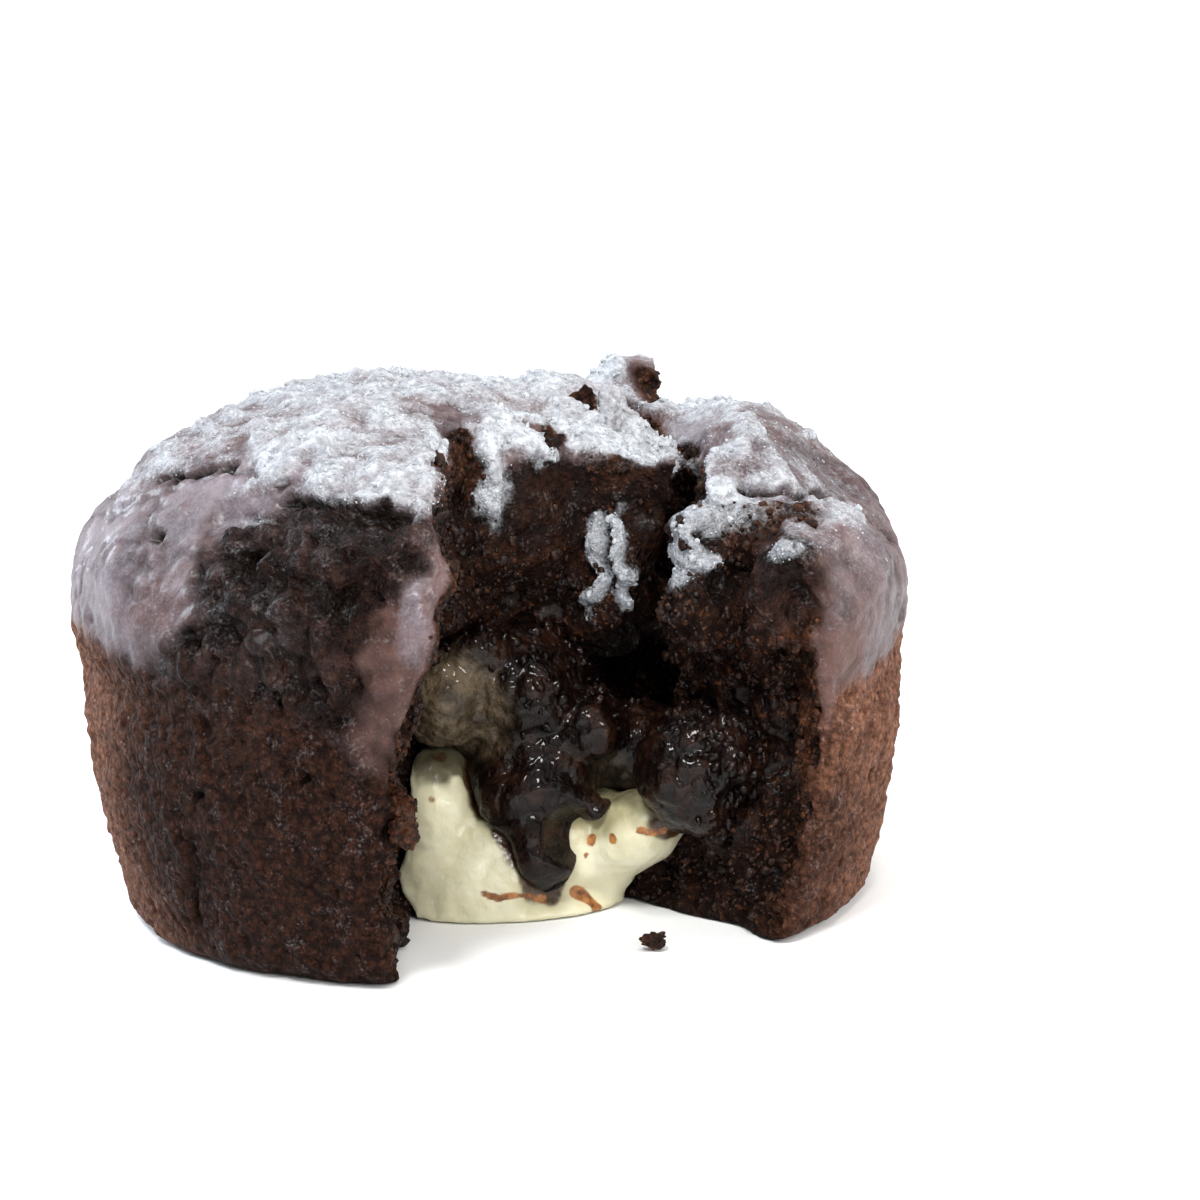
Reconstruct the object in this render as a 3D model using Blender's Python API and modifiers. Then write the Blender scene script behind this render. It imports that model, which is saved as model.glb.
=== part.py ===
"""A small chocolate cake with a molten middle, torn open at the front.

The cake is first turned as it was baked: a tapered drum under a domed crust. The dome then sinks towards the
tear, the tear is cut out with a few soft cutters, and some broken lumps are fused on. Last come the crust's
cracks and the crumb's crags. Two fillings lie in the hollow: a heap of pale cream, and dark chocolate sauce
that runs down over it. Each is heaped from ellipsoids and trimmed by what it lies against.
Metres, +Z up. The origin is on the ground under the cake's centre, and the tear opens towards -Y.
"""

import math

import bmesh
import bpy
from mathutils import Matrix, Vector, noise

MM = 0.001

# The cake as it was baked.
RIM_RADIUS = 39.9 * MM
SIDE_RADIUS = 39.1 * MM
BASE_RADIUS = 36.0 * MM
BASE_CORNER = 3.0 * MM
RIM_HEIGHT = 29.5 * MM
COLLAR_HEIGHT = 24.5 * MM
TOP_HEIGHT = 51.0 * MM
DOME_POWER = 2.35
TURNS = 120

# The crust's relief. A crack runs round the dome, and the crust's lower lip droops towards the front.
CRACK_RADIUS = 34.0 * MM
CRACK_DEPTH = 2.6 * MM
CRACK_WIDTH = 1.5 * MM
LIP_DEPTH = 0.8 * MM
LIP_DROOP = 2.5 * MM
CRUST_DEPTH = 1.3 * MM
CRUST_RELIEF = 0.9 * MM
CRAG_RELIEF = 2.6 * MM
CRUMB_RELIEF = 2.2 * MM

# Mesh density, and the gap between one piece and the next.
VOXEL = 0.85 * MM
FILLING_VOXEL = 0.5 * MM
CUTTER_VOXEL = 0.5 * MM
CAKE_TRIANGLES = 10000
CREAM_TRIANGLES = 1300
SAUCE_TRIANGLES = 2500
CLEARANCE = 0.72 * MM
BASE_TRIM = 0.3 * MM

# Plan points, heights and radii from here to the materials are in millimetres.

# Where the dome has sunk towards the tear: x, y, depth, reach.
DENTS = (
    (1.5, -17.5, 8.5, 6.0),
    (8.5, -10.5, 6.0, 8.0),
    (16.8, -5.5, 8.5, 6.5),
    (17.5, 3.5, 5.5, 7.0),
    (21.5, -18.0, 9.0, 8.5),
    (36.5, -7.0, 5.2, 10.0),
    (13.0, 9.0, 3.0, 5.0),
    (2.5, 6.0, 2.6, 8.0),
    (2.5, 18.0, 2.7, 9.0),
    (2.5, 28.0, 1.5, 8.0),
    (20.5, 15.0, 2.2, 6.0),
)

# The mouth of the tear at a few heights: the height, the left wall's x, the left and right ends of the
# middle's face, and the right wall from where it starts to its outer corner.
MOUTH = (
    (-5.0, -9.4, (-4.0, 4.0), (7.0, 5.0), (11.5, -6.0), (26.4, -27.8)),
    (9.0, -10.2, (-4.0, 5.0), (6.0, 5.0), (13.0, -5.0), (28.6, -27.0)),
    (21.0, -8.8, (-4.0, -1.0), (6.0, 0.0), (15.0, -3.0), (31.5, -26.0)),
    (31.0, -5.2, (0.0, -11.5), (7.0, -8.8), (14.0, -6.5), (29.5, -28.0)),
    (40.0, -3.0, (1.5, -14.5), (7.5, -9.5), (14.5, -7.5), (27.5, -30.0)),
    (64.0, -3.0, (1.5, -14.5), (7.5, -9.5), (14.5, -7.5), (27.5, -30.0)),
)
WALL_BOW = 0.8

# The deep slit from the mouth to behind the middle. It leans, so x is given at the height of its top: x, y,
# half its width, the height of its floor, and its lean in x for each unit of height.
SLIT_TOP = 40.0
SLIT = (
    (20.2, -20.0, 1.3, 19.0, 0.32),
    (19.6, -12.0, 1.3, 19.0, 0.32),
    (19.2, -5.0, 1.4, 20.0, 0.28),
    (18.6, 2.0, 1.6, 25.0, 0.20),
    (15.8, 8.0, 1.6, 33.0, 0.0),
    (10.0, 10.6, 1.5, 38.5, 0.0),
    (4.0, 11.6, 1.1, 42.5, 0.0),
    (-1.5, 13.4, 0.6, 46.5, 0.0),
)

# Ellipsoids: centre, three radii, and turns about x, y and z in degrees.
HOLLOWS = (
    ((14.5, -1.0, 20.5), (5.0, 9.0, 5.0)),
    ((-1.8, -15.0, 43.0), (1.2, 5.0, 5.0), (0, 18, 0)),
    ((20.8, -20.2, 37.6), (3.0, 2.8, 0.9), (0, -6, 0)),
    ((21.2, -20.4, 32.0), (1.9, 3.2, 2.5)),
    ((22.5, -21.0, 33.5), (1.3, 3.2, 4.6), (0, 8, 0)),
    ((18.5, -17.5, 15.5), (4.5, 6.0, 6.0)),
)
LUMPS = (
    ((18.8, -17.6, 29.6), (4.0, 4.2, 3.9), (0, 0, 0)),
    ((19.8, -16.5, 36.0), (3.6, 4.4, 2.3), (0, 14, 0)),
    ((25.0, -23.4, 32.6), (2.8, 3.2, 5.6), (0, 10, 0)),
    ((11.6, -9.0, 33.0), (1.9, 1.9, 6.2), (0, 8, 0)),
    ((14.0, 16.5, 46.6), (4.4, 4.2, 2.8), (10, -8, 18)),
    ((14.4, 14.6, 48.8), (4.2, 3.0, 1.7), (16, -20, 10)),
    ((19.0, 12.2, 43.9), (5.4, 2.4, 2.0), (0, 10, 0)),
    ((9.4, 7.8, 45.6), (1.7, 1.4, 2.7), (0, -25, 0)),
    ((-8.8, -34.2, 15.2), (1.5, 1.6, 2.4), (0, -20, 0)),
)
CREAM = (
    ((-1.5, 1.0, 3.0), (12.5, 14.6, 11.5)),
    ((-6.0, -4.0, 10.5), (5.0, 8.4, 6.6)),
    ((1.0, -4.0, 0.6), (11.5, 9.4, 1.8)),
    ((7.0, -3.0, 6.0), (8.0, 8.5, 6.8)),
    ((12.8, -9.0, 7.4), (7.0, 4.6, 3.4), (0, -30, -40)),
)
SAUCE = (
    ((0.5, -3.0, 21.5), (9.0, 8.4, 7.4)),
    ((-4.8, -6.5, 22.0), (4.8, 6.8, 6.0)),
    ((4.2, -6.0, 15.0), (6.6, 6.6, 6.6)),
    ((8.9, -7.8, 18.0), (3.2, 3.6, 3.6)),
    ((3.0, -9.8, 21.0), (4.2, 3.0, 4.4)),
    ((-1.6, -9.8, 25.6), (3.4, 2.6, 2.6)),
    ((4.2, -10.4, 11.8), (4.8, 3.0, 4.6)),
    ((4.9, -12.2, 7.0), (2.3, 1.7, 4.8), (0, -4, 0)),
    ((8.8, -10.8, 10.2), (2.8, 1.3, 1.0), (0, -12, 0)),
    ((13.0, -5.5, 15.0), (6.0, 4.0, 4.5)),
    ((18.2, -14.6, 14.6), (5.6, 5.4, 6.2), (0, -10, 0)),
    ((21.5, -16.5, 17.0), (3.6, 3.6, 3.6)),
)

# Material colours are linear.
MATERIALS = {
    "cake": ((0.055, 0.022, 0.013), 0.85),
    "cream": ((0.80, 0.72, 0.47), 0.35),
    "sauce": ((0.020, 0.008, 0.005), 0.15),
}


def clear_scene():
    for obj in list(bpy.data.objects):
        bpy.data.objects.remove(obj, do_unlink=True)


def collection(name):
    made = bpy.data.collections.new(name)
    bpy.context.scene.collection.children.link(made)
    return made


def add_object(name, bm, group):
    """A new object in group that holds the bmesh, which is freed."""
    bmesh.ops.recalc_face_normals(bm, faces=bm.faces)
    mesh = bpy.data.meshes.new(name)
    bm.to_mesh(mesh)
    bm.free()
    obj = bpy.data.objects.new(name, mesh)
    group.objects.link(obj)
    return obj


def copy_object(obj, name, group):
    copied = bpy.data.objects.new(name, obj.data.copy())
    group.objects.link(copied)
    return copied


def apply_modifiers(obj):
    bpy.context.view_layer.update()
    graph = bpy.context.evaluated_depsgraph_get()
    mesh = bpy.data.meshes.new_from_object(obj.evaluated_get(graph))
    old = obj.data
    obj.modifiers.clear()
    obj.data = mesh
    mesh.name = obj.name
    bpy.data.meshes.remove(old)


def remesh(obj, voxel):
    """One even, closed surface round all that the object holds."""
    modifier = obj.modifiers.new("Remesh", "REMESH")
    modifier.mode = "VOXEL"
    modifier.voxel_size = voxel
    apply_modifiers(obj)


def thin_out(obj, triangles):
    """Fewer triangles, with most of them left where the surface bends most."""
    obj.data.calc_loop_triangles()
    modifier = obj.modifiers.new("Decimate", "DECIMATE")
    modifier.ratio = min(1.0, triangles / len(obj.data.loop_triangles))
    modifier.use_collapse_triangulate = True
    apply_modifiers(obj)


def boolean(obj, other, operation):
    """Joins or cuts with the manifold solver, as the exact one loses the cake where two cuts graze."""
    modifier = obj.modifiers.new(operation.title(), "BOOLEAN")
    modifier.operation = operation
    modifier.solver = "MANIFOLD"
    modifier.object = other
    apply_modifiers(obj)


def inflate(obj, distance, voxel):
    """Grows the body by a distance all round."""
    modifier = obj.modifiers.new("Grow", "DISPLACE")
    modifier.strength = distance
    modifier.mid_level = 0.0
    apply_modifiers(obj)
    remesh(obj, voxel)


def keep_largest_piece(obj):
    """Drops the scraps that a cut leaves beside the main body."""
    bm = bmesh.new()
    bm.from_mesh(obj.data)
    unseen, pieces = set(bm.verts), []
    while unseen:
        front = [unseen.pop()]
        piece = set(front)
        while front:
            vertex = front.pop()
            new = {edge.other_vert(vertex) for edge in vertex.link_edges} & unseen
            unseen -= new
            piece |= new
            front.extend(new)
        pieces.append(piece)
    largest = max(pieces, key=len)
    bmesh.ops.delete(bm, geom=[v for v in bm.verts if v not in largest], context="VERTS")
    bm.to_mesh(obj.data)
    bm.free()


def flatten_base(obj, group, height=BASE_TRIM):
    """Trims the underside to one plane at the height."""
    bm = bmesh.new()
    slab = Matrix.Translation((0, 0, height - 0.05)) @ Matrix.Diagonal((0.2, 0.2, 0.1, 1))
    bmesh.ops.create_cube(bm, size=1, matrix=slab)
    boolean(obj, add_object(obj.name + "_base_cutter", bm, group), "DIFFERENCE")


def ellipsoid(bm, centre, radii, turns=(0, 0, 0)):
    turned = Matrix.Identity(4)
    for axis, angle in zip("XYZ", turns):
        turned = Matrix.Rotation(math.radians(angle), 4, axis) @ turned
    placed = Matrix.Translation(Vector(centre) * MM) @ turned
    stretched = placed @ Matrix.Diagonal((*(Vector(radii) * MM), 1))
    bmesh.ops.create_uvsphere(bm, u_segments=20, v_segments=12, radius=1, matrix=stretched)


def heap(name, lumps, group, voxel):
    """Ellipsoids fused into one soft body."""
    bm = bmesh.new()
    for lump in lumps:
        ellipsoid(bm, *lump)
    obj = add_object(name, bm, group)
    remesh(obj, voxel)
    return obj


def soft_loft(name, rings, group):
    """A closed, rounded body through rings of points that all have the same count."""
    bm = bmesh.new()
    rows = [[bm.verts.new(Vector(point) * MM) for point in ring] for ring in rings]
    count = len(rings[0])
    for low, high in zip(rows, rows[1:]):
        for i in range(count):
            j = (i + 1) % count
            bm.faces.new((low[i], low[j], high[j], high[i]))
    bm.faces.new(reversed(rows[0]))
    bm.faces.new(rows[-1])
    obj = add_object(name, bm, group)
    modifier = obj.modifiers.new("Soften", "SUBSURF")
    modifier.levels = modifier.render_levels = 2
    apply_modifiers(obj)
    remesh(obj, CUTTER_VOXEL)
    return obj


def bell(distance, width):
    return math.exp(-((distance / width) ** 2))


# ---- The cake as it was baked ----


def side_radius(height):
    """The drum's radius below its collar: it widens quickly at first, and then hardly at all."""
    rise = (height - BASE_CORNER) / (COLLAR_HEIGHT - BASE_CORNER)
    return BASE_RADIUS + (SIDE_RADIUS - BASE_RADIUS) * math.sin(rise * math.pi / 2)


def profile():
    """The outline that is turned, from the middle of the top down to the middle of the base."""
    dome_height = TOP_HEIGHT - RIM_HEIGHT
    points = [(0.0, TOP_HEIGHT)]
    for step in range(1, 31):
        angle = math.pi / 2 * step / 30
        across = math.sin(angle) ** (2 / DOME_POWER)
        up = max(0.0, math.cos(angle)) ** (2 / DOME_POWER)
        points.append((RIM_RADIUS * across, RIM_HEIGHT + dome_height * up))
    for step in range(1, 7):
        down = step / 6
        radius = SIDE_RADIUS + (RIM_RADIUS - SIDE_RADIUS) * (0.5 + 0.5 * math.cos(down * math.pi))
        points.append((radius, RIM_HEIGHT + (COLLAR_HEIGHT - RIM_HEIGHT) * down))
    for step in range(1, 15):
        height = COLLAR_HEIGHT + (BASE_CORNER - COLLAR_HEIGHT) * step / 14
        points.append((side_radius(height), height))
    for step in range(1, 6):
        angle = math.pi / 2 * step / 5
        points.append((
            BASE_RADIUS - BASE_CORNER * (1 - math.cos(angle)),
            BASE_CORNER * (1 - math.sin(angle)),
        ))
    points.append((0.0, 0.0))
    return points


def turned_cake(group):
    bm = bmesh.new()
    row = [bm.verts.new((radius, 0, height)) for radius, height in profile()]
    for upper, lower in zip(row, row[1:]):
        bm.edges.new((upper, lower))
    obj = add_object("cake", bm, group)
    screw = obj.modifiers.new("Turn", "SCREW")
    screw.steps = screw.render_steps = TURNS
    screw.use_merge_vertices = True
    screw.merge_threshold = 0.00005
    apply_modifiers(obj)
    return obj


# ---- The tear ----


def sunk_by(point):
    """How far the dome has sunk at a point, in metres: nothing at the rim, and the whole dent on top."""
    cubes = 0.0
    for x, y, depth, reach in DENTS:
        away = math.hypot(point.x / MM - x, point.y / MM - y)
        cubes += (depth * bell(away, reach)) ** 3
    high = (point.z - RIM_HEIGHT) / (TOP_HEIGHT - RIM_HEIGHT)
    return cubes ** (1 / 3) * MM * min(1.0, max(0.0, 1.7 * high))


def sink_dome(cake):
    for vertex in cake.data.vertices:
        vertex.co.z -= sunk_by(vertex.co)


def mouth_ring(height, left, face_left, face_right, wall_start, wall_corner):
    """In along the left wall, across the middle's face, and out along the slightly hollow right wall."""
    start, corner = Vector(wall_start), Vector(wall_corner)
    along = corner - start
    bow = Vector((-along.y, along.x)).normalized() * WALL_BOW
    outline = [
        (left, -56.0),
        (left, -37.0),
        (left - 0.8, -23.0),
        (left - 1.4, (face_left[1] - 20.0) / 2),
        face_left,
        face_right,
        start,
        start + along * 0.36 + bow,
        start + along * 0.72 + bow,
        corner,
        corner + Vector((10.0, -25.0)),
    ]
    return [(x, y, height) for x, y in outline]


def slit_rings():
    rings = []
    for i, (x, y, half_width, floor, lean) in enumerate(SLIT):
        before, after = SLIT[max(0, i - 1)], SLIT[min(len(SLIT) - 1, i + 1)]
        along = Vector((after[0] - before[0], after[1] - before[1])).normalized()
        across = Vector((-along.y, along.x)) * half_width
        foot, crown = x - lean * (SLIT_TOP - floor), x + lean * 10
        rings.append((
            (foot - across.x, y - across.y, floor),
            (foot + across.x, y + across.y, floor),
            (x + across.x, y + across.y, SLIT_TOP),
            (crown + across.x * 1.3, y + across.y * 1.3, 66.0),
            (crown - across.x * 1.3, y - across.y * 1.3, 66.0),
            (x - across.x, y - across.y, SLIT_TOP),
        ))
    return rings


def tear_cutters(group):
    return [
        soft_loft("mouth", [mouth_ring(*section) for section in MOUTH], group),
        soft_loft("slit", slit_rings(), group),
        heap("hollows", HOLLOWS, group, VOXEL),
    ]


# ---- Relief ----


def depth_in_cake(point):
    """How far inside the baked outline a point is, roughly, in metres."""
    radius = math.hypot(point.x, point.y)
    if point.z < RIM_HEIGHT:
        return side_radius(min(COLLAR_HEIGHT, max(point.z, BASE_CORNER))) - radius
    baked_height = point.z + sunk_by(point)
    up = (baked_height - RIM_HEIGHT) / (TOP_HEIGHT - RIM_HEIGHT)
    share = ((radius / RIM_RADIUS) ** DOME_POWER + up**DOME_POWER) ** (1 / DOME_POWER)
    return (1 - share) * math.hypot(radius, baked_height - RIM_HEIGHT) / max(share, 0.1)


def rumple(point, wavelength, seed):
    """Smooth noise from about -1 to 1, over lumps of the wavelength in millimetres."""
    return noise.noise(point / (wavelength * MM) + Vector((seed, seed * 2.0, seed * 3.0)))


def lip_height(angle):
    """The height of the crust's lower lip, at an angle from the front, towards +X."""
    return COLLAR_HEIGHT - LIP_DROOP * math.cos(angle - 0.5)


def crust_relief(point):
    radius, angle = math.hypot(point.x, point.y), math.atan2(point.x, -point.y)
    on_dome = min(1.0, max(0.0, (point.z - RIM_HEIGHT) / (7 * MM)))
    relief = CRUST_RELIEF * (0.9 * rumple(point, 12, 1) + 0.7 * rumple(point, 5.5, 2)) * (0.4 + on_dome)
    crack = radius - CRACK_RADIUS - 3.0 * MM * rumple(point, 16, 3)
    openness = min(1.0, max(0.0, 0.55 + 2.5 * rumple(point, 20, 4)))
    relief -= CRACK_DEPTH * openness * on_dome * bell(crack, CRACK_WIDTH)
    lip = min(1.0, max(0.0, 0.7 + 1.3 * rumple(point, 24, 10)))
    relief -= LIP_DEPTH * lip * bell(point.z - lip_height(angle), 1.2 * MM)
    crags = bell(angle + 0.48, 0.36) * bell(point.z - 35 * MM, 5.5 * MM)
    return relief + CRAG_RELIEF * crags * (rumple(point, 4.2, 8) - 0.6 * max(0.0, rumple(point, 7, 9)) - 0.2)


def crumb_relief(point):
    coarse = rumple(point, 7, 5) + 0.8 * rumple(point, 3.8, 6)
    pits = max(0.0, rumple(point, 4.5, 7) - 0.2)
    return CRUMB_RELIEF * (0.75 * coarse - 1.2 * pits)


def roughen(cake):
    """Moves the surface in and out: softly over the crust, and in crags over the torn crumb."""
    normals = [vertex.normal.copy() for vertex in cake.data.vertices]
    for vertex, normal in zip(cake.data.vertices, normals):
        torn = min(1.0, max(0.0, (depth_in_cake(vertex.co) - 0.4 * MM) / CRUST_DEPTH))
        relief = crust_relief(vertex.co) * (1 - torn) + crumb_relief(vertex.co) * torn
        grounded = min(1.0, max(0.0, vertex.co.z / (2 * MM)))
        vertex.co += normal * relief * grounded


# ---- The pieces ----


def make_cake(parts, cutters):
    cake = turned_cake(parts)
    sink_dome(cake)
    for cutter in tear_cutters(cutters):
        boolean(cake, cutter, "DIFFERENCE")
    boolean(cake, heap("lumps", LUMPS, cutters, VOXEL), "UNION")
    remesh(cake, VOXEL)
    roughen(cake)
    remesh(cake, VOXEL)
    keep_largest_piece(cake)
    thin_out(cake, CAKE_TRIANGLES)
    flatten_base(cake, cutters)
    return cake


def make_filling(name, lumps, neighbours, triangles, parts, cutters):
    """A heap with all that it would share with its neighbours cut away."""
    filling = heap(name, lumps, parts, FILLING_VOXEL)
    flatten_base(filling, cutters, 0.0)
    for neighbour in neighbours:
        grown = copy_object(neighbour, f"{name}_{neighbour.name}_cutter", cutters)
        inflate(grown, CLEARANCE, FILLING_VOXEL)
        boolean(filling, grown, "DIFFERENCE")
    remesh(filling, FILLING_VOXEL)
    keep_largest_piece(filling)
    thin_out(filling, triangles)
    return filling


def add_material(obj):
    colour, roughness = MATERIALS[obj.name]
    material = bpy.data.materials.new(obj.name)
    material.use_nodes = True
    shader = material.node_tree.nodes["Principled BSDF"]
    shader.inputs["Base Color"].default_value = (*colour, 1.0)
    shader.inputs["Roughness"].default_value = roughness
    obj.data.materials.clear()
    obj.data.materials.append(material)
    obj.data.shade_smooth()


def main():
    clear_scene()
    parts, cutters = collection("lava_cake"), collection("cutters")
    cake = make_cake(parts, cutters)
    cream = make_filling("cream", CREAM, [cake], CREAM_TRIANGLES, parts, cutters)
    flatten_base(cream, cutters)
    keep_largest_piece(cream)
    make_filling("sauce", SAUCE, [cake, cream], SAUCE_TRIANGLES, parts, cutters)
    for obj in parts.objects:
        obj.data.transform(Matrix.Translation((0, 0, -BASE_TRIM)))
        add_material(obj)
    for obj in cutters.objects:
        obj.hide_render = True
        obj.display_type = "WIRE"


main()
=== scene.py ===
"""A small molten chocolate cake, torn open at the front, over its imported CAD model."""

import math

import bmesh
import bpy
import numpy as np
from mathutils import Matrix, Vector, noise
from mathutils.bvhtree import BVHTree


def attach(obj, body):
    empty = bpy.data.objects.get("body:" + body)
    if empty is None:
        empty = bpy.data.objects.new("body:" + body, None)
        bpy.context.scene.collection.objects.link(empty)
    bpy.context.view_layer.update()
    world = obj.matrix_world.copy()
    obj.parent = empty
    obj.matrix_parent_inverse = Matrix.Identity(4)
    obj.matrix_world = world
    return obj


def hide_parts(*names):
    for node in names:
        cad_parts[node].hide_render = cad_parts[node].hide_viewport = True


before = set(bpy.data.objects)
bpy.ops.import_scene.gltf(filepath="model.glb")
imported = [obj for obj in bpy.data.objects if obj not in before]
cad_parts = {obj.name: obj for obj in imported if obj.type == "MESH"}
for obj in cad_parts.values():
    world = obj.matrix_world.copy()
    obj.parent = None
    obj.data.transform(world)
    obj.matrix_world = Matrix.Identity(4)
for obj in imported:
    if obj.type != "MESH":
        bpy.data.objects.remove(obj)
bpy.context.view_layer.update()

# ---- The cake ----
# A single portion of chocolate sponge, baked in a small round mould and torn open at the front. Its crust is
# smooth and waxy, its moulded side is finely pored and its torn faces are moist, craggy crumb. Icing sugar is
# sifted over the top, where it lies in drifts and clots.

MM = 0.001
WELD = 0.00001
CAKE_VOXEL = 0.43 * MM
CAKE_TRIANGLES = 194000


def fade(value, low, high):
    """A soft step: 0 at low, 1 at high, which may be the lower of the two."""
    share = np.clip((value - low) / (high - low), 0.0, 1.0)
    return share * share * (3 - 2 * share)


def moved(points, size, seed):
    """The points counted in lumps of the size, in a stretch of the noise that the seed picks."""
    return (points / (size * MM) + (seed, seed * 2.0, seed * 3.0)).tolist()


def rumple(points, size, seed):
    """Smooth noise from about -1 to 1 at each point, over lumps of the size in millimetres."""
    return 1.5 * np.array([noise.noise(place) for place in moved(points, size, seed)])


def cells(points, size, seed):
    """How far off the two nearest of many scattered points are, in cells, and a fixed lot for the nearest."""
    found = [noise.voronoi(place) for place in moved(points, size, seed)]
    near, next_near = (np.array([away[i] for away, _ in found]) for i in (0, 1))
    lots = np.array([noise.cell(centres[0] * 5.7) for _, centres in found])
    return near, next_near, lots * 0.5 + 0.5


def pocks(points, size, share, seed):
    """Round pores: 1 at the bottom of one, 0 between them. Only a share of the cells has one."""
    near, _, lot = cells(points, size, seed)
    return fade(near, 0.2 + 0.25 * lot / share, 0.02) * (lot < share)


def beads(points, size, seed):
    """Rounded tops heaped side by side, as on a cauliflower: 1 on top of one, 0 between them."""
    near, _, _ = cells(points, size, seed)
    return np.sqrt(np.clip(1 - (near / 0.8) ** 2, 0.0, 1.0))


def within(points, centre, radii):
    """1 well inside an ellipsoid, in millimetres, and 0 well outside it."""
    across = np.sqrt((((points / MM - centre) / radii) ** 2).sum(axis=1))
    return fade(across, 1.3, 0.55)


def put_in_scene(name, data):
    thing = bpy.data.objects.new(name, data)
    bpy.context.scene.collection.objects.link(thing)
    return thing


def from_shape(name, bm):
    """A new object from a shape that is finished with."""
    mesh = bpy.data.meshes.new(name)
    bm.to_mesh(mesh)
    bm.free()
    return put_in_scene(name, mesh)


def merged_copy(node, name):
    """A new object with the CAD node's triangles, joined along their edges."""
    bm = bmesh.new()
    bm.from_mesh(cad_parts[node].data)
    bmesh.ops.remove_doubles(bm, verts=bm.verts, dist=WELD)
    return from_shape(name, bm)


def settle(piece):
    """Bakes the piece's modifiers into its mesh."""
    bpy.context.view_layer.update()
    graph = bpy.context.evaluated_depsgraph_get()
    old, piece.data = piece.data, bpy.data.meshes.new_from_object(piece.evaluated_get(graph))
    piece.modifiers.clear()
    bpy.data.meshes.remove(old)
    piece.data.name = piece.name


def refine(piece, voxel):
    """Rounds off the facets, then covers the piece with small, even faces."""
    rounded = piece.modifiers.new("Round off", "SUBSURF")
    rounded.levels = rounded.render_levels = 1
    remesh = piece.modifiers.new("Remesh", "REMESH")
    remesh.mode = "VOXEL"
    remesh.voxel_size = voxel
    settle(piece)


def thin_out(piece, triangles):
    """Merges the smallest faces until only so many triangles are left."""
    piece.data.calc_loop_triangles()
    thin = piece.modifiers.new("Thin out", "DECIMATE")
    thin.ratio = min(1.0, triangles / len(piece.data.loop_triangles))
    thin.use_collapse_triangulate = True
    settle(piece)


def surface(piece):
    """The piece's points and its normals there, as rows."""
    points, normals = (np.empty((len(piece.data.vertices), 3)) for _ in range(2))
    piece.data.vertices.foreach_get("co", points.reshape(-1))
    piece.data.vertex_normals.foreach_get("vector", normals.reshape(-1))
    return points, normals


def push_out(piece, points, normals, distance):
    """Moves each point along its normal, in millimetres, but leaves the base where it stands."""
    above_base = fade(points[:, 2], 0.0, 1.5 * MM)
    pushed = points + normals * (distance * above_base * MM)[:, None]
    piece.data.vertices.foreach_set("co", pushed.reshape(-1))
    piece.data.update()


def keep_values(piece, **values):
    """Stores a number for each point under each name, for the materials."""
    for name, numbers in values.items():
        piece.data.attributes.new(name, "FLOAT", "POINT").data.foreach_set("value", numbers)


def skin(node):
    """The CAD node's surface, to measure distances to."""
    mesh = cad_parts[node].data
    return BVHTree.FromPolygons([v.co for v in mesh.vertices], [face.vertices for face in mesh.polygons])


def distance_to(tree, points, limit):
    """The distance from each point to a skin, in millimetres, up to a limit."""
    found = [tree.find_nearest(place, limit * MM)[3] for place in points.tolist()]
    return np.array([limit if away is None else away / MM for away in found])


# The baked outline, as the CAD has it, tells crust from crumb: what lies well inside it is torn.
RIM_RADIUS = 39.9 * MM
SIDE_RADIUS = 39.1 * MM
BASE_RADIUS = 36.0 * MM
BASE_CORNER = 3.0 * MM
RIM_HEIGHT = 29.5 * MM
COLLAR_HEIGHT = 24.5 * MM
TOP_HEIGHT = 51.0 * MM
DOME_POWER = 2.35
BASE_TRIM = 0.3 * MM
TORN_DEPTHS = (0.7, 2.0)
DRY_DEPTHS = (7.0, 1.5)
# How high the crust's lip stands at each bearing, in degrees from the front.
LIP_BEARINGS = (-180, -100, -68, -49, -32, -19, -13, 50, 54, 66, 100, 180)
LIP_HEIGHTS = (27.0, 29.0, 30.0, 28.5, 26.0, 21.5, 20.5, 19.7, 22.0, 23.8, 26.0, 27.0)

# Where the dome has sunk towards the tear, in millimetres: x, y, depth, reach.
DENTS = (
    (1.5, -17.5, 8.5, 6.0),
    (8.5, -10.5, 6.0, 8.0),
    (16.8, -5.5, 8.5, 6.5),
    (17.5, 3.5, 5.5, 7.0),
    (21.5, -18.0, 9.0, 8.5),
    (36.5, -7.0, 5.2, 10.0),
    (13.0, 9.0, 3.0, 5.0),
    (2.5, 6.0, 2.6, 8.0),
    (2.5, 18.0, 2.7, 9.0),
    (2.5, 28.0, 1.5, 8.0),
    (20.5, 15.0, 2.2, 6.0),
)


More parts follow.
